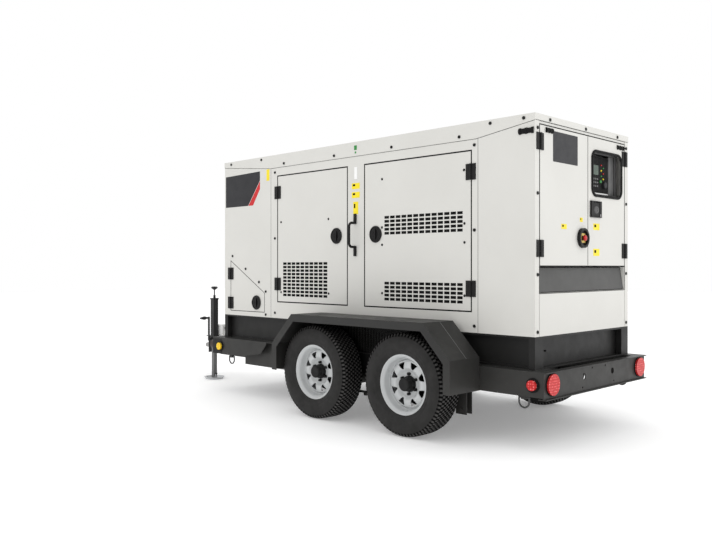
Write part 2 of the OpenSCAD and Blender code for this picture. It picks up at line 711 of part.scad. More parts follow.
// The window's outline, swept through the door's skin
module window_hole() {
    block([-1, window_y[0] + window_round, window_z[0]], [10, window_y[1] - window_round, window_z[1]]);
    block([-1, window_y[0], window_z[0] + window_round], [10, window_y[1], window_z[1] - window_round]);
    for (y = [window_y[0] + window_round, window_y[1] - window_round],
         z = [window_z[0] + window_round, window_z[1] - window_round])
        rod_x(window_round, -1, 10, y, z);
}

paddle_pin_r = 4;
paddle_w = 92;
paddle_top = 44;                // from the latch's middle up to the paddle's hinge

module rear_door_right() color("whitesmoke") place() difference() {
    union() {
        rear_tray(-rear_door_y, rear_split_r);
        mirror([0, 1, 0]) rear_hinges() hinge_moving();
        translate([0, rear_latch_at.x, rear_latch_at.y]) block([-14, -74, -58], [0, 74, 58]);
    }
    window_hole();
    translate([0, rear_latch_at.x, rear_latch_at.y]) {
        block([-15, -paddle_w / 2 - 2, -50], [-2, paddle_w / 2 + 2, paddle_top + 8]);
        translate([-8, 0, paddle_top]) rotate([90, 0, 0])
            cylinder(r = paddle_pin_r + fit, h = paddle_w + 20, center = true, $fn = 32);
    }
}

module rear_latch() color([0.1, 0.1, 0.1]) place()
    translate([0, rear_latch_at.x, rear_latch_at.y]) {
        block([-11, -paddle_w / 2, -46], [-5, paddle_w / 2, paddle_top]);
        translate([-8, 0, paddle_top]) rotate([90, 0, 0])
            cylinder(r = paddle_pin_r, h = paddle_w + 18, center = true, $fn = 32);
    }

module cable_flap() color([0.35, 0.35, 0.35]) place() {
    side_plate([flap_bottom, [flap_bottom.x + 5, flap_bottom.y - 2], [flap_top.x + 5, flap_top.y - 2],
                flap_top], -flap_w, flap_w);
    rod_y(flap_pin_r, -flap_w - 7, flap_w + 7, flap_axis_x, flap_top.y);
}

// ---------------------------------------------------------------- latches

// Round turn latch with a raised grip; its shaft points inwards
module turn_latch(x, z, side) color([0.12, 0.12, 0.12]) place() mirror([0, side < 0 ? 1 : 0, 0])
    translate([x, half_w, z]) rotate([-90, 0, 0]) {
        difference() {
            cylinder(r = latch_r, h = 12);
            translate([0, 0, 5]) cylinder(r = latch_r - 6, h = 8);
        }
        translate([-11, -latch_r + 12, 4]) cube([22, 2 * latch_r - 24, 13]);
        translate([0, 0, -16]) cylinder(r = latch_shaft_r, h = 18);
        translate([-9, -9, -22]) cube([18, 34, 6]);
    }

module estop_housing() color([0.1, 0.1, 0.1]) place() difference() {
    rod_x(68, -22, 0, estop_at.x, estop_at.y);
    rod_x(52, -23, -6, estop_at.x, estop_at.y);
    rod_x(9 + fit, -7, 1, estop_at.x, estop_at.y);
}

module estop_button() color("red") place() {
    rod_x(21, -34, -16, estop_at.x, estop_at.y);
    rod_x(9, -16, 6, estop_at.x, estop_at.y);
}

// C-shaped rod between two feet
handle_rod = 10;
handle_bow = 72;
handle_bend = 30;
handle_z = [1325, 1513];

module pull_handle(x) {
    for (i = [0, 1]) {
        z = handle_z[i];
        dir = i == 0 ? -1 : 1;
        block([x - 11, half_w, z + dir * 32 - 40], [x + 11, half_w + 14, z + dir * 32 + 40]);
        rod_y(handle_rod, half_w + 13, half_w + handle_bow - handle_bend, x, z);
        translate([x, half_w + handle_bow - handle_bend, z - dir * handle_bend])
            rotate([0, -90, 0]) rotate([0, 0, i == 0 ? 90 : 0]) rotate_extrude(angle = 90)
                translate([handle_bend, 0]) circle(r = handle_rod);
    }
    rod_z(handle_rod, handle_z[0] + handle_bend, handle_z[1] - handle_bend, x, half_w + handle_bow);
}

module pull_handles() color([0.1, 0.1, 0.1]) place() both_sides() pull_handle(1611);

// ---------------------------------------------------------------- fasteners

screw_r = 11;
screw_h = 5;
roof_screws = [[80, 2125], [339, 2125], [596, 2065], [1227, 2065], [1853, 2065], [2484, 2065],
               [2799, 2125], [3254, 2125]];
post_screws = [for (x = [470, 2610], z = [767, 1419, 1996]) [x, z]];
diagonal_screws = [[3237, 1270], [3035, 1151], [2837, 1033], [2740, 950], [2740, 745]];
corner_screw_z = [752, 1119, 1640, 2058];

module screws() color([0.15, 0.15, 0.15]) place() {
    both_sides() {
        for (p = roof_screws) rod_y(screw_r, half_w + sheet_t, half_w + sheet_t + screw_h, p.x, p.y);
        for (p = post_screws) rod_y(screw_r, half_w, half_w + screw_h, p.x, p.y);
        for (z = corner_screw_z) {
            rod_x(screw_r, -screw_h, 0, 617, z);
            rod_x(screw_r, canopy_l, canopy_l + screw_h, 617, z);
        }
        rod_x(screw_r, -sheet_t - screw_h, -sheet_t, 471, 2125);
    }
    for (p = diagonal_screws) rod_y(screw_r, half_w, half_w + screw_h, p.x, p.y);
    rod_x(screw_r, -sheet_t - screw_h, -sheet_t, 0, 2125);
}

// ---------------------------------------------------------------- inside the canopy

module control_panel() color([0.2, 0.2, 0.2]) place() {
    difference() {
        block([46, window_y[0] - 10, window_z[0] - 30], [170, window_y[1] + 10, window_z[1] + 30]);
        block([45, window_y[0] + 20, window_z[0] + 10], [90, window_y[1] - 20, window_z[1] - 10]);
    }
    block([60, window_y[0] + 60, window_z[0] + 40], [90, window_y[1] - 60, window_z[1] - 40]);
    block([150, -140, 900], [320, 140, 1120]);
    block([170, window_y[0] - 10, canopy_z0], [200, window_y[0] + 30, window_z[1] + 30]);
    block([170, window_y[1] - 30, canopy_z0], [200, window_y[1] + 10, window_z[1] + 30]);
    block([180, -140, canopy_z0], [320, 140, 900]);
}

engine_x = [1330, 2260];
fan_x = engine_x[1] + 56;
fan_blades = 8;
fan_r = 300;
fan_z = 1180;
fan_shaft_r = 20;

module engine() color("gold") place() {
    block([engine_x[0] + 90, -190, 860], [engine_x[1] - 60, 190, 1010]);
    block([engine_x[0] + 60, -150, 1010], [engine_x[1], 150, 1360]);
    block([engine_x[0] + 90, -120, 1360], [engine_x[1] - 40, 120, 1470]);
    block([engine_x[0] + 110, -85, 1470], [engine_x[1] - 70, 60, 1530]);
    rod_x(250, engine_x[0], engine_x[0] + 60, 0, 1100);
    rod_x(70, engine_x[1], engine_x[1] + 50, 0, fan_z);
    rod_x(fan_shaft_r, engine_x[1] + 50, fan_x + 50, 0, fan_z);
    for (i = [0 : 5]) rod_y(24, 120, 190, engine_x[0] + 170 + i * 120, 1420);
    rod_x(38, engine_x[0] + 130, engine_x[1] - 100, 205, 1420);
    rod_x(80, engine_x[0] + 380, engine_x[0] + 500, -230, 1440);
    block([engine_x[0] + 400, -200, 1380], [engine_x[0] + 480, -110, 1440]);
    both_sides() for (x = [engine_x[0] + 200, engine_x[1] - 200]) {
        block([x - 40, 150, 880], [x + 40, 300, 900]);
        block([x - 40, 240, canopy_z0], [x + 40, 300, 880]);
    }
}

module alternator() color("gold") place() {
    rod_x(245, 760, engine_x[0], 0, 1100);
    rod_x(205, 690, 760, 0, 1100);
    block([820, -170, 1330], [1180, 170, 1480]);
    both_sides() block([800, 150, canopy_z0], [1240, 230, 960]);
}

radiator_x = [2420, 2540];

module radiator() color([0.15, 0.15, 0.15]) place() difference() {
    union() {
        block([radiator_x[0], -480, canopy_z0], [radiator_x[1], 480, 1760]);
        rod_x(fan_r + 40, 2380, radiator_x[0], 0, fan_z);
    }
    rod_x(fan_r + 25, 2340, 2440, 0, fan_z);
}

module cooling_fan() color([0.1, 0.1, 0.1]) place() difference() {
    translate([fan_x, 0, fan_z]) rotate([0, 90, 0]) {
        cylinder(r = 75, h = 44);
        for (i = [0 : fan_blades - 1]) rotate(i * 360 / fan_blades)
            translate([60, -40, 6]) rotate([24, 0, 0]) cube([fan_r - 60, 84, 5]);
    }
    rod_x(fan_shaft_r + fit, fan_x - 1, fan_x + 46, 0, fan_z);
}

module muffler() color("silver") place() {
    rod_x(120, 2640, 3200, exhaust_at.y, 1900);
    rod_z(40, 1900, canopy_z1 + 34, exhaust_at.x, exhaust_at.y);
    for (x = [2720, 3120]) block([x, exhaust_at.y - 130, canopy_z0], [x + 30, exhaust_at.y + 130, 1860]);
}

main_frame();
tongue();
hitch_channel();
lunette_eye();
side_rails();
rear_bumper();
fenders();
skid_base();
red_lamps();
amber_lamps();
spring_hangers();
screws();
rear_axle();
rear_springs();
front_axle();
front_springs();
equalizers();
color([0.1, 0.1, 0.1]) tyre(axle_rear_x, 1);  // tyre_rear_left
color([0.1, 0.1, 0.1]) tyre(axle_rear_x, -1);  // tyre_rear_right
color([0.1, 0.1, 0.1]) tyre(axle_front_x, 1);  // tyre_front_left
color([0.1, 0.1, 0.1]) tyre(axle_front_x, -1);  // tyre_front_right
color("whitesmoke") wheel(axle_rear_x, 1);  // wheel_rear_left
color("whitesmoke") wheel(axle_rear_x, -1);  // wheel_rear_right
color("whitesmoke") wheel(axle_front_x, 1);  // wheel_front_left
color("whitesmoke") wheel(axle_front_x, -1);  // wheel_front_right
jack_tube();
jack_leg();
jack_crank();
jack_plunger();
tie_ring(ring_x[0], 1);  // ring_rear_left
tie_ring(ring_x[0], -1);  // ring_rear_right
tie_ring(ring_x[1], 1);  // ring_front_left
tie_ring(ring_x[1], -1);  // ring_front_right
canopy_frame();
roof();
fixed_panels();
door_left_rear();
door_left_front();
door_right_rear();
door_right_front();
service_door();
rear_door_left();
rear_door_right();
cable_flap();
turn_latch(latch_a_x, latch_z, 1);  // latch_left_rear
turn_latch(latch_b_x, latch_z, 1);  // latch_left_front
turn_latch(latch_a_x, latch_z, -1);  // latch_right_rear
turn_latch(latch_b_x, latch_z, -1);  // latch_right_front
turn_latch(service_latch_at.x, service_latch_at.y, 1);  // service_latch
rear_latch();
estop_housing();
estop_button();
control_panel();
engine();
alternator();
radiator();
cooling_fan();
muffler();
hinge_leaves();
pull_handles();
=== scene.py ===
# Looks of the towable generator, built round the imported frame. Metres, in the row frame.
import json
import math

import bmesh
import bpy
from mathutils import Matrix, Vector


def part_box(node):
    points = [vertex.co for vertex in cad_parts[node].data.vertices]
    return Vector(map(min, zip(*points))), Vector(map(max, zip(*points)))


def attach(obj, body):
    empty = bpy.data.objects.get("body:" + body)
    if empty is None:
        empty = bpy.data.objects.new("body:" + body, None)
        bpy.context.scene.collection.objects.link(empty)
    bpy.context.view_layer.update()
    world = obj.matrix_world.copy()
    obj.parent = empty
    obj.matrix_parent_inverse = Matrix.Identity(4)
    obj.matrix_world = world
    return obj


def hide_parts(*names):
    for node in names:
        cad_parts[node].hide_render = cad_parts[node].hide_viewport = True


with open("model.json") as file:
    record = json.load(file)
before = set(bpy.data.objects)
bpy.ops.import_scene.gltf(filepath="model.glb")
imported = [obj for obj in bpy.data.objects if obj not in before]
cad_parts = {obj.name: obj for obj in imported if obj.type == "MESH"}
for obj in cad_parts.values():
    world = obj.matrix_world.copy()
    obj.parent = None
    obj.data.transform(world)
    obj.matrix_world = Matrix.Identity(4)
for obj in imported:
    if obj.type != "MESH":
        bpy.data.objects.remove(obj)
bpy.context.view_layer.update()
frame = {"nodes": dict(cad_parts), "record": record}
NODES = frame["nodes"]
EYE_X = 4602.0      # front of the lunette eye, from the canopy's rear face
OX = EYE_X - 1000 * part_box("lunette_eye")[1].x      # how far the canopy's rear face is behind the origin

# The trailer's main sizes, in mm
HALF_W = 647.0      # outer face of the side panels and doors, from the middle
RAIL_Y = 707        # outer face of the side rails
TRACK_Y = 858       # middle of each tyre
AXLE_Z = 359
AXLES = (("rear", 857), ("front", 1769))
SIDES = (("left", 1), ("right", -1))
POST_X = 1609       # middle of the post between the side doors
LATCH_X = {"rear": 1393, "front": 1826}
LATCH_Z = 1418
JACK_X = 4086
LAMP_SEAT_Y = 717.3     # lamps on the sides are rubber up to here
DECAL_T = 0.0007        # thickness of a sticker, in metres


def W(x, y, z):
    """A point from the trailer's own millimetres: x from the canopy's rear face."""
    return Vector(((x - OX) / 1000, y / 1000, z / 1000))


# ---------------------------------------------------------------- materials

def mat_base(name):
    m = bpy.data.materials.new(name)
    m.use_nodes = True
    nt = m.node_tree
    b = nt.nodes["Principled BSDF"]
    tc = nt.nodes.new("ShaderNodeTexCoord")
    return m, nt, b, tc.outputs["Object"]


def noise(nt, vec, scale, detail=4.0, rough=0.55):
    n = nt.nodes.new("ShaderNodeTexNoise")
    n.inputs["Scale"].default_value = scale
    n.inputs["Detail"].default_value = detail
    n.inputs["Roughness"].default_value = rough
    nt.links.new(vec, n.inputs["Vector"])
    return n.outputs["Fac"]


def ramp(nt, fac, stops):
    r = nt.nodes.new("ShaderNodeValToRGB")
    els = r.color_ramp.elements
    while len(els) < len(stops):
        els.new(0.5)
    for e, (p, c) in zip(els, stops):
        e.position = p
        e.color = (*c, 1) if len(c) == 3 else c
    nt.links.new(fac, r.inputs["Fac"])
    return r.outputs["Color"]


def mix(nt, fac, a, b):
    n = nt.nodes.new("ShaderNodeMix")
    n.data_type = "RGBA"
    nt.links.new(fac, n.inputs["Factor"])
    for sock, v in ((n.inputs[6], a), (n.inputs[7], b)):
        if isinstance(v, tuple):
            sock.default_value = (*v, 1)
        else:
            nt.links.new(v, sock)
    return n.outputs[2]


def rough_bump(nt, b, fac_rough, lo, hi, fac_bump, strength, distance):
    mr = nt.nodes.new("ShaderNodeMapRange")
    mr.inputs["From Min"].default_value = 0.3
    mr.inputs["From Max"].default_value = 0.7
    mr.inputs["To Min"].default_value = lo
    mr.inputs["To Max"].default_value = hi
    nt.links.new(fac_rough, mr.inputs["Value"])
    nt.links.new(mr.outputs["Result"], b.inputs["Roughness"])
    bp = nt.nodes.new("ShaderNodeBump")
    bp.inputs["Strength"].default_value = strength
    bp.inputs["Distance"].default_value = distance
    nt.links.new(fac_bump, bp.inputs["Height"])
    nt.links.new(bp.outputs["Normal"], b.inputs["Normal"])


def paint(name, base, dark, lo=0.3, hi=0.45, peel=260.0, bump=0.12, scuff=None, dust=None, metal=0.0,
          spec=0.5):
    """Sprayed paint: slow colour drift, orange peel, scuffs and dust that gathers low down.

    dust is (colour, height it starts to fade at, height it ends at, amount).
    """
    m, nt, b, vec = mat_base(name)
    big = noise(nt, vec, 2.2, 6.0)
    col = ramp(nt, big, [(0.25, dark), (0.7, base)])
    if scuff:
        fine = noise(nt, vec, 34.0, 9.0, 0.7)
        mask = ramp(nt, fine, [(0.62, (0, 0, 0)), (0.70, (1, 1, 1))])
        col = mix(nt, mask, col, scuff)
    if dust:
        sep = nt.nodes.new("ShaderNodeSeparateXYZ")
        nt.links.new(vec, sep.inputs[0])
        low = nt.nodes.new("ShaderNodeMapRange")
        low.inputs["From Min"].default_value = dust[1]
        low.inputs["From Max"].default_value = dust[2]
        low.inputs["To Min"].default_value = dust[3]
        low.inputs["To Max"].default_value = 0.0
        nt.links.new(sep.outputs["Z"], low.inputs["Value"])
        mul = nt.nodes.new("ShaderNodeMath")
        mul.operation = "MULTIPLY"
        nt.links.new(low.outputs["Result"], mul.inputs[0])
        nt.links.new(noise(nt, vec, 9.0, 8.0, 0.65), mul.inputs[1])
        col = mix(nt, mul.outputs[0], col, dust[0])
    nt.links.new(col, b.inputs["Base Color"])
    b.inputs["Metallic"].default_value = metal
    b.inputs["Specular IOR Level"].default_value = spec
    rough_bump(nt, b, noise(nt, vec, 14.0, 5.0), lo, hi, noise(nt, vec, peel, 2.0), bump, 0.0006)
    return m


def plastic(name, base, dark, lo=0.4, hi=0.6, grain=900.0, spec=0.35):
    m, nt, b, vec = mat_base(name)
    b.inputs["Specular IOR Level"].default_value = spec
    nt.links.new(ramp(nt, noise(nt, vec, 12.0, 6.0), [(0.3, dark), (0.7, base)]), b.inputs["Base Color"])
    rough_bump(nt, b, noise(nt, vec, 30.0), lo, hi, noise(nt, vec, grain, 2.0), 0.25, 0.0004)
    return m


def lens(name, base, dark, light):
    """Lamp lens with small prisms moulded in its back; the lighter cell centres are painted glints of the
    prisms.
    """
    m, nt, b, vec = mat_base(name)
    v = nt.nodes.new("ShaderNodeTexVoronoi")
    v.inputs["Scale"].default_value = 60.0
    v.inputs["Randomness"].default_value = 0.25
    nt.links.new(vec, v.inputs["Vector"])
    col = ramp(nt, v.outputs["Distance"], [(0.16, light), (0.34, base), (0.62, dark)])
    nt.links.new(col, b.inputs["Base Color"])
    rough_bump(nt, b, noise(nt, vec, 20.0), 0.12, 0.25, v.outputs["Distance"], 0.35, 0.001)
    b.inputs["Specular IOR Level"].default_value = 0.3
    return m


WHITE = paint("canopy_white", (0.675, 0.668, 0.636), (0.645, 0.638, 0.606), 0.3, 0.42,
              dust=((0.42, 0.40, 0.36), 0.72, 1.0, 0.18), spec=0.25)
RIMW = paint("rim_white", (0.58, 0.595, 0.60), (0.49, 0.505, 0.51), 0.25, 0.4,
             dust=((0.2, 0.19, 0.17), 0.1, 0.6, 0.3))
FRAME = paint("frame_black", (0.036, 0.0355, 0.034), (0.024, 0.024, 0.0235), 0.34, 0.5,
              scuff=(0.05, 0.05, 0.047), dust=((0.07, 0.065, 0.055), 0.2, 0.7, 0.25), spec=0.2)
SKID = paint("skid_black", (0.016, 0.016, 0.016), (0.009, 0.009, 0.009), 0.36, 0.5,
             dust=((0.05, 0.046, 0.04), 0.5, 0.75, 0.2), spec=0.2)
FLAP = paint("flap_grey", (0.105, 0.105, 0.103), (0.088, 0.088, 0.086), 0.5, 0.65,
             peel=140.0, bump=0.3, spec=0.2)
STEEL = paint("steel_grey", (0.42, 0.42, 0.42), (0.26, 0.25, 0.24), 0.32, 0.5, metal=0.9)
ZINC = paint("zinc", (0.62, 0.63, 0.64), (0.45, 0.46, 0.47), 0.28, 0.42,
             scuff=(0.35, 0.34, 0.32), metal=0.85)
JACK = paint("jack_paint", (0.035, 0.035, 0.036), (0.02, 0.02, 0.021), 0.35, 0.5,
             scuff=(0.07, 0.07, 0.07), spec=0.2)
# Near-black: the brake drum's own dark colour, and painted shade on the vents' walls and behind the vents.
DRUM_DARK_AND_VENT_SHADE = plastic("drum_dark_and_vent_shade", (0.008, 0.008, 0.008), (0.004, 0.004, 0.004), 0.6, 0.8, 120.0, 0.1)
# Dark grey for strips laid along seams and under edges as painted shade.
SEAM_SHADE = plastic("seam_shade", (0.10, 0.10, 0.095), (0.06, 0.06, 0.06), 0.7, 0.85, 300.0, 0.1)
# Black: print on the stickers, and painted shade in door gaps and under the fenders.
BLACK_PRINT_AND_SHADE = plastic("black_print_and_shade", (0.006, 0.006, 0.006), (0.004, 0.004, 0.004), 0.7, 0.85, 300.0, 0.1)
TAUPE = plastic("lamp_housing", (0.035, 0.018, 0.012), (0.02, 0.01, 0.008), 0.3, 0.45, 200.0)
BLACK = plastic("black_plastic", (0.012, 0.012, 0.012), (0.007, 0.007, 0.007), spec=0.2)
# Black rubber of seats, gaskets and catches; also painted shade in the gap between the rear doors and above the
# cable flap.
RUBBER_AND_GAP_SHADE = plastic("rubber_and_gap_shade", (0.010, 0.010, 0.010), (0.006, 0.006, 0.006), 0.6, 0.8, 400.0, 0.15)
TYRE = plastic("tyre_rubber", (0.026, 0.025, 0.0245), (0.017, 0.0165, 0.016), 0.55, 0.75, 220.0, 0.2)
# Tyre tread: near-black painted shade in the grooves, and lighter block tops as painted light.
GROOVE_PAINTED_SHADE = plastic("tyre_groove_painted_shade", (0.004, 0.004, 0.004), (0.002, 0.002, 0.002), 0.8, 0.9, 220.0, 0.05)
TREAD_PAINTED_LIGHT = plastic("tyre_block_painted_light", (0.062, 0.060, 0.058), (0.042, 0.041, 0.040), 0.5, 0.7, 220.0, 0.3)
REDP = plastic("red_plastic", (0.55, 0.012, 0.012), (0.42, 0.01, 0.01), 0.2, 0.35)
RED = lens("red_lens", (0.66, 0.030, 0.032), (0.44, 0.012, 0.012), (0.88, 0.30, 0.29))
AMBER = lens("amber_lens", (0.95, 0.66, 0.012), (0.82, 0.44, 0.006), (1.0, 0.90, 0.14))
YELLOW = plastic("label_yellow", (0.93, 0.76, 0.02), (0.86, 0.68, 0.015), 0.3, 0.45)
LABEL = plastic("label_white", (0.92, 0.92, 0.91), (0.84, 0.84, 0.83), 0.35, 0.5)
GREEN = plastic("label_green", (0.04, 0.30, 0.06), (0.03, 0.22, 0.05), 0.35, 0.5)
DECAL = plastic("decal_dark", (0.030, 0.030, 0.033), (0.022, 0.022, 0.025), 0.3, 0.45, spec=0.2)
STRIPE = plastic("decal_red", (0.62, 0.012, 0.016), (0.52, 0.01, 0.012), 0.25, 0.4)
PANEL = plastic("panel_grey", (0.17, 0.17, 0.17), (0.12, 0.12, 0.12), 0.4, 0.6)
IRON = paint("dark_iron", (0.06, 0.06, 0.06), (0.03, 0.03, 0.03), 0.3, 0.45,
             scuff=(0.12, 0.12, 0.12), spec=0.4)
# The jack leg's steel; also used for the painted highlight along the fender folds.
LEG_STEEL_AND_FOLD_HIGHLIGHT = paint("leg_steel_and_fold_highlight", (0.17, 0.17, 0.17), (0.11, 0.11, 0.11), 0.3, 0.45,
            scuff=(0.28, 0.28, 0.28), spec=0.4)
SCREEN = plastic("screen", (0.10, 0.14, 0.11), (0.06, 0.09, 0.07), 0.08, 0.16, 80.0)
GOLD = paint("gold_plate", (0.62, 0.45, 0.12), (0.48, 0.33, 0.08), 0.3, 0.42, metal=0.5)
GREYP = plastic("paddle_grey", (0.055, 0.055, 0.055), (0.035, 0.035, 0.035), 0.25, 0.4)
ENGINE = paint("engine_grey", (0.16, 0.175, 0.185), (0.10, 0.11, 0.12), 0.35, 0.55, scuff=(0.07, 0.07, 0.065))
ALLOY = paint("alloy", (0.35, 0.35, 0.35), (0.2, 0.2, 0.2), 0.35, 0.55, metal=0.6)
FLOOR = paint("floor_paper", (0.93, 0.93, 0.93), (0.91, 0.91, 0.91), 0.7, 0.85, peel=40.0, bump=0.02)
FLOOR.node_tree.nodes["Principled BSDF"].inputs["Emission Color"].default_value = (1, 1, 1, 1)
FLOOR.node_tree.nodes["Principled BSDF"].inputs["Emission Strength"].default_value = 0.22

BY_SLOT = {"frame_black": FRAME, "skid_black": SKID, "steel_grey": STEEL, "jack_paint": JACK, "zinc": ZINC,
           "red_lens": RED, "amber_lens": AMBER, "black_plastic": BLACK, "red_plastic": REDP, "tyre": TYRE,
           "rim_white": RIMW, "canopy_white": WHITE, "flap_grey": FLAP, "panel_grey": PANEL,
           "machine_alloy": ALLOY, "muffler_steel": STEEL}
for sp in frame["record"]["subparts"]:
    o = NODES.get(sp["node"])
    if o is not None:
        o.data.materials.clear()
        o.data.materials.append(BY_SLOT[sp["material_slot"]])
for n in ("engine", "alternator"):
    NODES[n].data.materials[0] = ENGINE
for n in ("ring_rear_left", "ring_rear_right", "ring_front_left", "ring_front_right"):
    NODES[n].data.materials[0] = IRON
NODES["jack_leg"].data.materials[0] = LEG_STEEL_AND_FOLD_HIGHLIGHT


def second(node, mat, test):
    """Gives the faces whose centre passes the test a second material."""
    me = NODES[node].data
    me.materials.append(mat)
    k = len(me.materials) - 1
    for p in me.polygons:
        if test(p.center * 1000 + Vector((OX, 0, 0))):
            p.material_index = k


def in_skin(c):
    """Inside the thickness of a side door's sheet, where the vents' walls are."""
    return 638 < abs(c.y) < HALF_W - 0.1


# Hinges stand proud of the sheet
for n in ("door_left_rear", "door_left_front", "door_right_rear", "door_right_front", "service_door"):
    second(n, BLACK, lambda c: abs(c.y) > HALF_W + 0.3)
for n in ("rear_door_left", "rear_door_right"):
    second(n, BLACK, lambda c: c.x < -0.3)
# Rubber seats of the lamps, and the front lamps' housings
second("red_lamps", RUBBER_AND_GAP_SHADE, lambda c: (abs(c.y) < LAMP_SEAT_Y and c.x > -99) or (-106.3 < c.x < -99))
second("amber_lamps", RUBBER_AND_GAP_SHADE, lambda c: abs(c.y) < LAMP_SEAT_Y and c.x < 3469)
second("amber_lamps", TAUPE, lambda c: 3469 < c.x < 3534)
second("control_panel", BLACK, lambda c: 55 < c.x < 65)
# The jack's foot, and the pin above it
second("jack_leg", ZINC, lambda c: c.z < 24)
second("jack_leg", BLACK, lambda c: 49 < c.z < 63 and abs(c.x - JACK_X) > 20)
# Painted shade: the vents' walls inside the doors' sheet are made near-black, where shade falls in the slots.
for side, _ in SIDES:
    second(f"door_{side}_front", DRUM_DARK_AND_VENT_SHADE, lambda c: 1934 < c.x < 2506 and 914 < c.z < 1212 and in_skin(c))
    second(f"door_{side}_rear", DRUM_DARK_AND_VENT_SHADE,
           lambda c: 566 < c.x < 1306 and in_skin(c) and (914 < c.z < 1062 or 1410 < c.z < 1560))


# ---------------------------------------------------------------- mesh helpers

def piece(name, bm, mat, body, replaces=None, bevel=0.0):
    """Turns a bmesh into an object that rides on a body."""
    bmesh.ops.recalc_face_normals(bm, faces=bm.faces)
    me = bpy.data.meshes.new(name)
    bm.to_mesh(me)
    bm.free()
    for m in (mat if isinstance(mat, (list, tuple)) else [mat]):
        me.materials.append(m)
    o = bpy.data.objects.new(name, me)
    bpy.context.scene.collection.objects.link(o)
    if bevel:
        b = o.modifiers.new("soft_edges", "BEVEL")
        b.width = bevel
        b.segments = 3
        b.limit_method = "ANGLE"
    for p in me.polygons:
        p.use_smooth = True
    w = o.modifiers.new("weighted", "WEIGHTED_NORMAL")
    w.keep_sharp = True
    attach(o, body)
    if replaces:
        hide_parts(replaces)
    return o


def add_prism(bm, ring, direction, mat_index=0):
    """Closed prism from a ring of points, pushed along a direction."""
    a = [bm.verts.new(p) for p in ring]
    b = [bm.verts.new(p + direction) for p in ring]
    faces = [bm.faces.new(a), bm.faces.new(b[::-1])]
    for i in range(len(a)):
        j = (i + 1) % len(a)
        faces.append(bm.faces.new((a[i], b[i], b[j], a[j])))
    for f in faces:
        f.material_index = mat_index


def round_rect(cu, cv, w, h, r, n=6):
    """Outline of a rounded rectangle as (u, v) pairs."""
    pts = []
    for k, (su, sv) in enumerate(((1, 1), (-1, 1), (-1, -1), (1, -1))):
        for i in range(n + 1):
            t = math.radians(90 * k + 90 * i / n)
            pts.append((cu + su * (w / 2 - r) + r * math.cos(t), cv + sv * (h / 2 - r) + r * math.sin(t)))
    return pts


def lathe(bm, profile, place, n=64, mat_index=0):
    """Surface of revolution from (radius, height) pairs. place maps (radius, angle, height) to a point."""
    rings = []
    for r, h in profile:
        if r < 1e-6:
            rings.append([bm.verts.new(place(0, 0, h))])
        else:
            rings.append([bm.verts.new(place(r, 2 * math.pi * i / n, h)) for i in range(n)])
    for a, b in zip(rings, rings[1:]):
        for i in range(n):
            j = (i + 1) % n
            loop = [a[i % len(a)], a[j % len(a)], b[j % len(b)], b[i % len(b)]]
            seen = []
            for v in loop:
                if v not in seen:
                    seen.append(v)
            if len(seen) > 2:
                bm.faces.new(seen).material_index = mat_index


def rear_disc(y, z):
    """Placement for a lathe whose axis points out of the rear face."""
    return lambda r, t, h: W(-h, y + r * math.cos(t), z + r * math.sin(t))


def side_disc(x, z, s):
    """Placement for a lathe whose axis points out of a side."""
    return lambda r, t, h: W(x + r * math.cos(t), s * (HALF_W + h), z + r * math.sin(t))


def side_label(name, cx, cz, w, h, mat, s=1, y0=HALF_W, r=3):
    """Plain sticker on a side."""
    bm = bmesh.new()
    add_prism(bm, [W(u, s * y0, v) for u, v in round_rect(cx, cz, w, h, r)], Vector((0, s * DECAL_T, 0)))
    return piece(name, bm, mat, "chassis")


def rear_label(name, cy, cz, w, h, mat, body, r=3, x0=0.0):
    """Plain sticker on the rear face."""
    bm = bmesh.new()
    add_prism(bm, [W(x0, u, v) for u, v in round_rect(cy, cz, w, h, r)], Vector((-DECAL_T, 0, 0)))
    return piece(name, bm, mat, body)


# ---------------------------------------------------------------- tyres

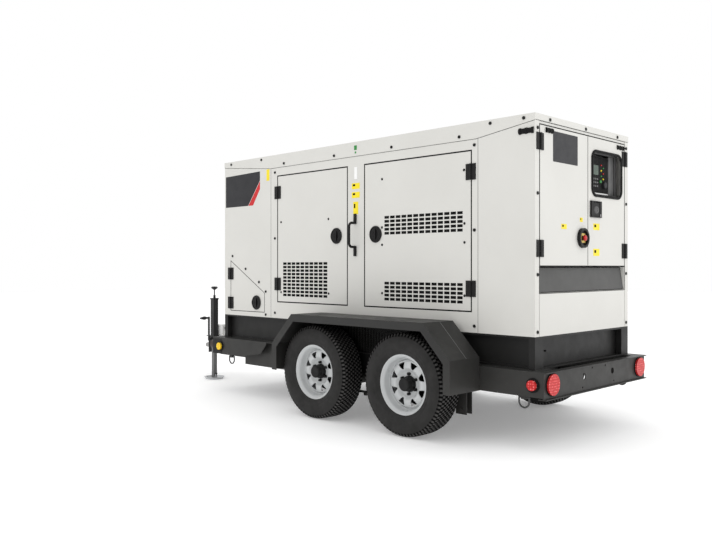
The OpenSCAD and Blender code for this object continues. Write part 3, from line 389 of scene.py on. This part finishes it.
def tyre(name, body, node, ax, sy):
    """Tread blocks, shoulder lugs and a ribbed sidewall, inside the CAD tyre's outline."""
    # (radius, distance from the tyre's middle, 0) along the bead and sidewall
    side = [(190.8, -69, 0), (203, -79, 0), (214, -90, 0), (228, -98, 0), (240, -105, 0), (243, -107, 0),
            (246, -106, 0), (262, -110, 0), (268, -111.5, 0), (290, -111.8, 0), (300, -110, 0), (306, -110, 0),
            (318, -106.5, 0), (332, -102, 0)]
    # outer edge and inner edge of each row of blocks, from the shoulder to the middle
    rows = [(340, -99, 354, -88), (354.5, -85, 358, -66), (358.2, -61, 358.7, -44),
            (358.8, -39, 358.9, -24), (358.9, -19, 358.9, -5)]
    groove, notch = 9, 8.5
    tread = []
    for q, (r0, h0, r1, h1) in enumerate(rows):
        if q:
            tread += [(r0 - groove, h0 - 1.5, -1)]
        tread += [(r0, h0, q + 1), (r1, h1, q + 1), (r1 - groove, h1 + 1.5, -1)]
    prof = side + tread
    prof = prof + [(r, -h, k) for r, h, k in reversed(prof)]
    n = 300
    bm = bmesh.new()
    rings = []
    for r, h, k in prof:
        row = []
        for i in range(n):
            cut = 0.0
            if k > 0 and (i + 2 * k + (2 if h > 0 else 0)) % 4 == 0:
                cut = notch
            t = 2 * math.pi * i / n
            x, z = ax + (r - cut) * math.cos(t), AXLE_Z + (r - cut) * math.sin(t)
            row.append(bm.verts.new(W(x, sy * (TRACK_Y + h), z)))
        rings.append(row)
    m = len(rings)
    for a in range(m):
        b = (a + 1) % m
        for i in range(n):
            j = (i + 1) % n
            f = bm.faces.new((rings[a][i], rings[a][j], rings[b][j], rings[b][i]))
            ka, kb = prof[a][2], prof[b][2]
            mean = sum(math.hypot(v.co.x * 1000 - ax + OX, v.co.z * 1000 - AXLE_Z) for v in f.verts) / 4
            # Groove floors and walls get the painted shade, block tops the painted light.
            if -1 in (ka, kb) or (ka > 0 and mean < (prof[a][0] + prof[b][0]) / 2 - 1.5):
                f.material_index = 2
            elif ka > 0 and kb > 0:
                f.material_index = 1
    return piece(name, bm, [TYRE, TREAD_PAINTED_LIGHT, GROOVE_PAINTED_SHADE], body, node)


for a, ax in AXLES:
    for s, sy in SIDES:
        tyre(f"tyre_look_{a}_{s}", f"wheelset_{a}_{s}", f"tyre_{a}_{s}", ax, sy)


# ---------------------------------------------------------------- wheels

def wheel(name, body, node, ax, sy):
    """Pressed steel wheel: barrel, dished disc with eight vents, nuts, hub cap and brake drum."""
    def at(r, t, h):
        return W(ax + r * math.cos(t), sy * (TRACK_Y + h), AXLE_Z + r * math.sin(t))

    bm = bmesh.new()
    lathe(bm, [(185.5, -72), (198.5, -80), (202, -86), (206, -86.5), (208, -84), (206, -79), (190.6, -70),
               (190.6, 70), (205, 79), (208.4, 82.5), (208, 86), (203.5, 86.5), (199, 82), (192, 75), (186, 70),
               (184, 60), (181, 34), (176, 24), (170, 20), (171, 12), (180, 10), (185.5, -10), (185.5, -72)],
          at, 96)
    n, half = 96, 6     # points round the disc, and half of each vent's share of them
    radii = [(54, 9), (60, 10), (74, 11), (86, 12), (95, 19), (106, 30), (112, 35), (120, 36), (129, 35.5),
             (141, 34), (153, 31), (160, 27), (171, 20)]
    lo, hi = 5, 10      # the vents run between these two rings
    rings = []
    for k, (r, h) in enumerate(radii):
        row = []
        for i in range(n):
            sector, u = divmod(i, 12)
            u -= half
            open_half = 3.4 + (11.5 - 3.4) * min(1, max(0, (k - lo) / (hi - lo)))
            w = min(1.0, max(0.0, 1 - (lo - k) / 2)) if k < lo else (1.0 if k <= hi else 0.25)
            even = u * 3.75
            if abs(u) <= 3:
                warped = u / 3 * open_half
            else:
                warped = math.copysign(open_half + (abs(u) - 3) / 3 * (22.5 - open_half), u)
            a = even + (warped - even) * w
            row.append(bm.verts.new(at(r, math.radians(sector * 45 + 22.5 + a), h)))
        rings.append(row)
    for k in range(len(radii) - 1):
        for i in range(n):
            u = i % 12 - half
            if lo <= k < hi and -3 <= u < 3:
                continue
            j = (i + 1) % n
            bm.faces.new((rings[k][i], rings[k][j], rings[k + 1][j], rings[k + 1][i]))
    shell = piece(name, bm, RIMW, body, node)
    sol = shell.modifiers.new("sheet", "SOLIDIFY")
    sol.thickness = 0.0035
    sol.offset = 0
    bm = bmesh.new()
    lathe(bm, [(54, 10), (80, 7), (84, 6), (84, -46), (146, -46), (150, -50), (150, -106), (146, -110),
               (0, -110), (0, 10)], at, 64)
    lathe(bm, [(0, 79), (22, 79), (24, 80), (37, 80), (43, 78), (46, 74), (46, 60), (47.5, 58), (47.5, 42),
               (52, 38), (54, 30), (56, 24), (57, 10), (0, 10)], at, 64, 1)
    nuts, nut_circle = 6, 69.85
    for q in range(nuts):
        turn = math.radians(q * 60 + 30)
        ca, sa = nut_circle * math.cos(turn), nut_circle * math.sin(turn)

        def nut(r, t, h):
            return W(ax + ca + r * math.cos(t), sy * (TRACK_Y + h), AXLE_Z + sa + r * math.sin(t))

        lathe(bm, [(0, 37), (6, 37), (9, 34), (11, 31), (11.5, 14), (13.5, 12), (13.5, 9), (0, 9)], nut, 6, 1)
    piece(name + "_hub", bm, [DRUM_DARK_AND_VENT_SHADE, BLACK], body, bevel=0.0006)


for a, ax in AXLES:
    for s, sy in SIDES:
        wheel(f"wheel_look_{a}_{s}", f"wheelset_{a}_{s}", f"wheel_{a}_{s}", ax, sy)


# ---------------------------------------------------------------- latches

def latch(name, body, node, x, z, s, flat):
    """Round pull latch with a rim, a dished face and a raised grip; its pointed side faces the free edge."""
    bm = bmesh.new()

    def place(r, t, h):
        k = 1.0
        if r > 30 and flat:
            k = 0.945 + 0.055 * max(0.0, math.cos(t) * flat) ** 9
        return W(x + k * r * math.cos(t), s * (HALF_W + h), z + r * math.sin(t))

    lathe(bm, [(0, 4), (26, 4), (28, 7), (44, 7), (48, 4.5), (52, 5), (56, 9), (60, 11), (62.5, 10.5), (64, 8),
               (64, 0.2), (0, 0.2)], place, 72)
    w = 15 if flat else 13
    ring = [(x + u, z + v) for u, v in round_rect(0, 0, w, 84, w / 2 - 0.5, 8)]
    add_prism(bm, [W(u, s * (HALF_W + 3), v) for u, v in ring], Vector((0, s * 0.0125, 0)))
    lathe(bm, [(0, 17), (5, 17), (7, 15.5), (7, 6)], side_disc(x, z, s), 24)
    return piece(name, bm, BLACK, body, node, bevel=0.0012)


for side, s in SIDES:
    for where, flat in (("rear", -1), ("front", 1)):
        node = f"latch_{side}_{where}"
        latch(f"latch_look_{side[0]}{where[0]}", f"{node}_body", node, LATCH_X[where], LATCH_Z, s, flat)
latch("latch_look_service", "service_latch_body", "service_latch", 2872, 848, 1, 1)


# ---------------------------------------------------------------- rear doors

def gasket():
    """Rubber seal that grips the window's edge."""
    bm = bmesh.new()
    cy, cz, w, h = -313, 1832, 448, 322
    # (distance outwards from the window's edge, distance out of the door)
    prof = [(-9, -0.5), (-13, 3), (-14, 7), (-9, 10.5), (-2, 11.5), (3, 10.5), (6, 7), (6.5, 3), (5, -0.5)]
    rings = []
    for off, out in prof:
        pts = round_rect(cy, cz, w + 2 * off, h + 2 * off, max(8, 60 + off), 10)
        rings.append([bm.verts.new(W(-out, u, v)) for u, v in pts])
    n = len(rings[0])
    for a, b in zip(rings, rings[1:] + rings[:1]):
        for i in range(n):
            j = (i + 1) % n
            bm.faces.new((a[i], a[j], b[j], b[i]))
    return piece("window_gasket", bm, RUBBER_AND_GAP_SHADE, "rear_door_right_body")


gasket()

# controller: bezel, screen, keys, lamps and a knob
bm = bmesh.new()
add_prism(bm, [W(60, u, v) for u, v in round_rect(-277, 1842, 316, 256, 12)], Vector((-0.006, 0, 0)), 0)
add_prism(bm, [W(60, u, v) for u, v in round_rect(-500, 1832, 122, 300, 8)], Vector((-0.010, 0, 0)), 2)
add_prism(bm, [W(54, u, v) for u, v in round_rect(-232, 1870, 110, 70, 6)], Vector((-0.003, 0, 0)), 1)
for i in range(4):
    for k in range(3):
        key = round_rect(-190 - i * 28, 1806 - k * 26, 18, 12, 4)
        add_prism(bm, [W(54, u, v) for u, v in key], Vector((-0.003, 0, 0)), 2)
for i, k in enumerate((5, 3, 4, 5, 3, 4)):
    lamp = rear_disc(-328 - (i % 2) * 30, 1910 - i * 20)
    lathe(bm, [(0, -46), (5, -47), (6, -50), (6, -54)], lamp, 20, k)
lathe(bm, [(0, -36), (20, -36), (24, -39), (26, -54)], rear_disc(-372, 1766), 32, 6)
lathe(bm, [(0, -46), (9, -46), (11, -48), (11, -54)], rear_disc(-318, 1790), 32, 3)
piece("controller_face", bm, [RUBBER_AND_GAP_SHADE, SCREEN, PANEL, GREEN, YELLOW, REDP, DECAL], "chassis",
      bevel=0.0006)
bm = bmesh.new()
add_prism(bm, [W(60, u, v) for u, v in round_rect(-300, 1695, 270, 22, 5)], Vector((-0.007, 0, 0)))
piece("controller_strip", bm, LABEL, "chassis", bevel=0.0006)

# paddle latch: an oval grey paddle with a key
bm = bmesh.new()
lathe(bm, [(0, 14), (20, 14), (32, 12.8), (36, 11)],
      lambda r, t, h: W(-h, -140 + r * math.cos(t), 1572 + 0.72 * r * math.sin(t)), 48)
piece("paddle_face", bm, GREYP, "rear_latch_body")
bm = bmesh.new()
lathe(bm, [(0, 16.5), (7, 16.5), (9, 15.5), (9, 14)], rear_disc(-196, 1534), 32, 0)
add_prism(bm, [W(-16, u, v) for u, v in round_rect(-196, 1534, 3, 12, 1)], Vector((-0.002, 0, 0)), 1)
piece("key_barrel", bm, [STEEL, BLACK], "rear_door_right_body")

# emergency stop: gold square plate and mushroom head
STOP_Y, STOP_Z = 47, 1368
bm = bmesh.new()
ring = round_rect(STOP_Y, STOP_Z, 66, 66, 6)
outer = [bm.verts.new(W(-6.2, u, v)) for u, v in ring]
outer2 = [bm.verts.new(W(-8.2, u, v)) for u, v in ring]
turns = [math.atan2(v - STOP_Z, u - STOP_Y) for u, v in ring]
inner = [bm.verts.new(W(-8.2, STOP_Y + 20 * math.cos(t), STOP_Z + 20 * math.sin(t))) for t in turns]
for i in range(len(ring)):
    j = (i + 1) % len(ring)
    bm.faces.new((outer[i], outer[j], outer2[j], outer2[i]))
    bm.faces.new((outer2[i], outer2[j], inner[j], inner[i]))
piece("estop_plate", bm, GOLD, "rear_door_left_body")
bm = bmesh.new()
lathe(bm, [(0, 34), (8, 33.6), (15, 32), (19.5, 29), (21, 25), (20.5, 20), (17, 17.5), (10, 16.5), (9, 16)],
      rear_disc(STOP_Y, STOP_Z), 48)
piece("estop_head", bm, REDP, "estop_body", "estop_button")

rear_label("decal_rear", 268, 1960, 322, 200, DECAL, "rear_door_left_body", 6)
REAR_STICKERS = ((289, 1439, 71, 34, "left"), (57, 1494, 40, 30, "left"),
                 (-158, 1453, 90, 46, "right"), (-158, 1272, 90, 50, "right"))
for i, (y, z, w, h, door) in enumerate(REAR_STICKERS):
    body = f"rear_door_{door}_body"
    rear_label(f"label_rear_{i}", y, z, w, h, YELLOW, body)
    rear_label(f"label_rear_mark_{i}", y + w * 0.2, z + h * 0.12, w * 0.28, h * 0.4, BLACK_PRINT_AND_SHADE, body, 2, -0.5)


def catch(name, pts, out, body, normal):
    """Rubber catch: a half-round bar with a raised band at each end and one in the middle."""
    (u0, u1), (v0, v1) = pts
    bm = bmesh.new()

    def at(u, v, h):
        return W(-h, u, v) if normal == 0 else W(u, normal * (HALF_W + h), v)

    def bar(a, b, k):
        r, mid = (v1 - v0) / 2 * k, (v0 + v1) / 2
        ring = [(mid + r * math.cos(math.pi * q / 14), out * k * math.sin(math.pi * q / 14)) for q in range(15)]
        add_prism(bm, [at(a, v, h) for v, h in ring], at(b, 0, 0) - at(a, 0, 0))

    span = u1 - u0
    bar(u0 + 2, u1 - 2, 0.84)
    for a, b in ((0.0, 0.16), (0.42, 0.58), (0.84, 1.0)):
        bar(u0 + a * span, u0 + b * span, 1.0)
    return piece(name, bm, RUBBER_AND_GAP_SHADE, body, bevel=0.001)


catch("catch_rear_left", ((438, 521), (2038, 2073)), 16, "rear_door_left_body", 0)
catch("catch_rear_right", ((-572, -469), (2036, 2069)), 16, "rear_door_right_body", 0)
for side, s in SIDES:
    catch(f"catch_side_{side}", ((8, 118), (2020, 2062)), 14, "chassis", s)

# ---------------------------------------------------------------- stickers on the side

for tag, s in SIDES:
    for i, (z, w, h) in enumerate(((1803, 88, 46), (1733, 88, 46), (1631, 55, 98))):
        side_label(f"label_post_{tag}_{i}", POST_X, z, w, h, YELLOW, s)
        side_label(f"label_mark_{tag}_{i}", POST_X + w * 0.22, z + h * 0.16, w * 0.3, h * 0.34, BLACK_PRINT_AND_SHADE, s,
                   HALF_W + 0.4, 2)
    side_label(f"label_post_white_{tag}", POST_X, 1905, 33, 94, LABEL, s)
    side_label(f"label_front_{tag}", 2709, 1983, 42, 100, YELLOW, s)
    side_label(f"label_skirt_{tag}", POST_X, 2103, 30, 36, GREEN, s, HALF_W + 3)
    side_label(f"label_skirt_low_{tag}", POST_X, 2066, 16, 16, GREEN, s, HALF_W + 3)
    bm = bmesh.new()
    plain = ((2824, 2026), (3344, 2014), (3344, 1726), (3000, 1726), (2824, 1946))
    band = ((2824, 1938), (2994, 1726), (2926, 1726), (2824, 1868))
    for k, shape in enumerate((plain, band)):
        add_prism(bm, [W(x, s * HALF_W, z) for x, z in shape], Vector((0, s * DECAL_T, 0)), k)
    piece(f"decal_front_{tag}", bm, [DECAL, STRIPE], "chassis")

# ---------------------------------------------------------------- painted shade in gaps, seams and under the fenders, painted highlight on the fender folds, door screws, painted shade behind the vents

GAP_SHADE_T = 0.7        # how far the painted gap shade stands out, in mm
SEAM_T = 0.6


def offset_poly(pts, d):
    """A convex outline moved outwards by d."""
    out = []
    area2 = sum(a[0] * b[1] - b[0] * a[1] for a, b in zip(pts, pts[1:] + pts[:1]))
    sign = 1 if area2 > 0 else -1
    n = len(pts)
    for i in range(n):
        (x0, y0), (x1, y1), (x2, y2) = pts[i - 1], pts[i], pts[(i + 1) % n]
        a = Vector((y1 - y0, -(x1 - x0))).normalized() * sign
        b = Vector((y2 - y1, -(x2 - x1))).normalized() * sign
        m = (a + b) / (1 + a.dot(b))
        out.append((x1 + m.x * d, y1 + m.y * d))
    return out


def outline(name, pts, d0, d1, at, body, mat=None):
    """Flat dark strip round an outline, painted shade in the gap round a door opening, also used round the
    cable flap. at maps (u, v, height) to a point.
    """
    bm = bmesh.new()
    a, b = offset_poly(pts, d0), offset_poly(pts, d1)
    section = ((a, 0), (a, GAP_SHADE_T), (b, GAP_SHADE_T), (b, 0))
    rows = [[bm.verts.new(at(u, v, k)) for u, v in ring] for ring, k in section]
    n = len(pts)
    for r in range(4):
        p, q = rows[r], rows[(r + 1) % 4]
        for i in range(n):
            j = (i + 1) % n
            bm.faces.new((p[i], p[j], q[j], q[i]))
    return piece(name, bm, mat or RUBBER_AND_GAP_SHADE, body)


def strip(name, pts, width, at, body="chassis", mat=None):
    """Thin dark strip that follows a line of points: painted shade along a seam's gap."""
    bm = bmesh.new()
    for (u0, v0), (u1, v1) in zip(pts, pts[1:]):
        d = Vector((u1 - u0, v1 - v0)).normalized() * (width / 2)
        q = [(u0 - d.y, v0 + d.x), (u1 - d.y, v1 + d.x), (u1 + d.y, v1 - d.x), (u0 + d.y, v0 - d.x)]
        add_prism(bm, [at(u, v, 0) for u, v in q], at(0, 0, SEAM_T) - at(0, 0, 0))
    return piece(name, bm, mat or SEAM_SHADE, body)


def on_side(s):
    return lambda u, v, h: W(u, s * (HALF_W + h), v)


def on_rear(u, v, h):
    return W(-h, u, v)


def rect(x0, x1, z0, z1):
    return [(x0, z0), (x1, z0), (x1, z1), (x0, z1)]


DOORS = {"rear": rect(501, 1507, 870, 1957), "front": rect(1708, 2569, 870, 1957)}
DOOR_SCREWS = {"front": ((2527, 1558), (1924, 1559), (2527, 949), (1921, 952)),
               "rear": ((1327, 1834), (558, 1834), (1328, 1468), (554, 1467),
                        (1327, 1336), (554, 1337), (1327, 970), (554, 971))}
GRILLES = {"front": (rect(1925, 2516, 905, 1220),),
           "rear": (rect(558, 1315, 1402, 1565), rect(558, 1315, 906, 1070))}
for tag, s in SIDES:
    at = on_side(s)
    # Painted shade: a black strip round each door opening stands for the shade in the door's gap.
    for where, door in DOORS.items():
        outline(f"gap_shade_{where}_{tag}", door, 0.8, 10.0, at, "chassis", BLACK_PRINT_AND_SHADE)
    # Painted shade: dark lines along the panel joints and under the skirt's lower edge.
    strip(f"seam_panel_rear_{tag}", [(441, 724), (441, 2040)], 2.5, at)
    strip(f"seam_panel_front_{tag}", [(2667, 724), (2667, 2036)], 2.5, at)
    strip(f"seam_skirt_{tag}", [(0, 2103), (457, 2035.5), (2667, 2035.5), (3360, 2102)], 3.0, at)
    # Painted highlight: a lighter strip along the fender's fold.
    bm = bmesh.new()
    fold = ((386, 571), (386.2, 568.6), (608.4, 800.6), (607, 801.4))
    add_prism(bm, [W(x, s * 850, z) for x, z in fold], Vector((0, s * 0.003, 0)))
    piece(f"fender_fold_highlight_{tag}", bm, LEG_STEEL_AND_FOLD_HIGHLIGHT, "chassis")
    # Painted shade: black sheets on the rail behind the wheels and under the fender arch, where shade falls.
    bm = bmesh.new()
    arch = ((394, 516), (394, 566), (612, 792), (1940, 792), (2174, 556), (2174, 516))
    add_prism(bm, [W(x, s * RAIL_Y, z) for x, z in rect(392, 2177, 356, 506)], Vector((0, s * 0.001, 0)))
    add_prism(bm, [W(x, s * (RAIL_Y + 3), z) for x, z in arch], Vector((0, s * 0.001, 0)))
    piece(f"fender_shade_{tag}", bm, BLACK_PRINT_AND_SHADE, "chassis")
    for where, pts in DOOR_SCREWS.items():
        bm = bmesh.new()
        for x, z in pts:
            lathe(bm, [(0, 3.6), (5, 3.5), (8.5, 2.2), (10, 0.4), (10, 0)], side_disc(x, z, s), 20)
        piece(f"door_screws_{where}_{tag}", bm, BLACK, f"door_{tag}_{where}_body")
    # Painted shade: a near-black pad behind each grille stands for the shade inside the canopy.
    for where, pads in GRILLES.items():
        bm = bmesh.new()
        for pad in pads:
            add_prism(bm, [W(u, s * (HALF_W - 10), v) for u, v in pad], Vector((0, s * 0.005, 0)))
        piece(f"vent_shade_{where}_{tag}", bm, DRUM_DARK_AND_VENT_SHADE, f"door_{tag}_{where}_body")
    bm = bmesh.new()
    plate = round_rect(3396, 424, 146, 138, 5)
    add_prism(bm, [W(u, s * RAIL_Y, v) for u, v in plate], Vector((0, s * 0.0015, 0)))
    piece(f"rail_end_{tag}", bm, BLACK, "chassis", bevel=0.0006)

# Painted shade in the gaps round the service door, the cable flap and the rear doors.
outline("gap_shade_service", [(3262, 1222), (2762, 935), (2762, 768), (3262, 766)], 0.6, 5.5, on_side(1),
        "chassis", BLACK_PRINT_AND_SHADE)
flap_lo, flap_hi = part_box("cable_flap")
outline("gap_shade_cable_bay", rect(1000 * flap_lo.y, 1000 * flap_hi.y, 1001, 1170), 1.5, 6.0, on_rear,
        "chassis", BLACK_PRINT_AND_SHADE)
outline("gap_shade_rear_doors", rect(-588, 588, 1178, 2081), 0.8, 7.0, on_rear, "chassis", BLACK_PRINT_AND_SHADE)
# Painted shade in the gaps between the rear doors, under the rear skirt and above the cable flap.
strip("seam_rear_doors", [(-34, 1180), (-34, 2079)], 4.0, on_rear, "rear_door_left_body", RUBBER_AND_GAP_SHADE)
strip("seam_rear_skirt", [(-640, 2106.5), (640, 2106.5)], 3.0, on_rear)
strip("seam_flap", [(-586, 1171), (586, 1171)], 5.0, on_rear, "chassis", RUBBER_AND_GAP_SHADE)

# ---------------------------------------------------------------- breakaway box on the tongue

BOX_X = 3998        # rear face of the box's lid
bm = bmesh.new()
add_prism(bm, [W(BOX_X + 6, u, v) for u, v in round_rect(182, 503, 88, 122, 10)], Vector((0.118, 0, 0)), 0)
add_prism(bm, [W(BOX_X, u, v) for u, v in round_rect(182, 503, 94, 128, 10)], Vector((0.006, 0, 0)), 0)
add_prism(bm, [W(4030, u, v) for u, v in rect(170, 190, 429.2, 444)], Vector((0.05, 0, 0)), 1)
lathe(bm, [(0, 24), (14, 24), (18, 20), (18, 8), (10, 4), (10, 0)],
      lambda r, t, h: W(BOX_X - h, 190 + r * math.cos(t), 528 + r * math.sin(t)), 32, 1)
piece("breakaway_box", bm, [LABEL, BLACK], "chassis", bevel=0.003)

# ---------------------------------------------------------------- floor, light, camera

FLOOR_SIZE = 60     # metres
bm = bmesh.new()
g = 24
grid = [[bm.verts.new((FLOOR_SIZE * (i / g - 0.5), FLOOR_SIZE * (j / g - 0.5), -0.0005)) for j in range(g + 1)]
        for i in range(g + 1)]
for i in range(g):
    for j in range(g):
        bm.faces.new((grid[i][j], grid[i + 1][j], grid[i + 1][j + 1], grid[i][j + 1]))
me = bpy.data.meshes.new("floor")
bm.to_mesh(me)
bm.free()
me.materials.append(FLOOR)
floor = bpy.data.objects.new("floor", me)
bpy.context.scene.collection.objects.link(floor)

world = bpy.data.worlds.new("studio")
bpy.context.scene.world = world
world.use_nodes = True
world.node_tree.nodes["Background"].inputs["Color"].default_value = (1, 1, 1, 1)
world.node_tree.nodes["Background"].inputs["Strength"].default_value = 1.0


def area(name, where, target, size, power):
    d = bpy.data.lights.new(name, "AREA")
    d.size = size
    d.energy = power
    o = bpy.data.objects.new(name, d)
    o.location = where
    o.rotation_mode = "QUATERNION"
    o.rotation_quaternion = (Vector(target) - Vector(where)).to_track_quat("-Z", "Y")
    bpy.context.scene.collection.objects.link(o)


area("key", (-8.0, -4.5, 2.6), (-2, 0, 1), 4.5, 90)
area("side", (2.0, 8.0, 4.0), (0, 0, 1), 4.0, 20)
area("top", (0, 0, 8.0), (0, 0, 0), 6.0, 60)

cam_data = bpy.data.cameras.new("view")
cam_data.lens = 38.5
cam_data.sensor_width = 36.0
cam_data.clip_end = 200
cam = bpy.data.objects.new("view", cam_data)
cam.location = W(-2613.7, 4867, 1168.2)
cam.rotation_mode = "QUATERNION"
cam.rotation_quaternion = Vector((1, -1, 0)).to_track_quat("-Z", "Y")
bpy.context.scene.collection.objects.link(cam)
bpy.context.scene.camera = cam
bpy.context.scene.view_settings.view_transform = "Standard"

bpy.context.view_layer.update()
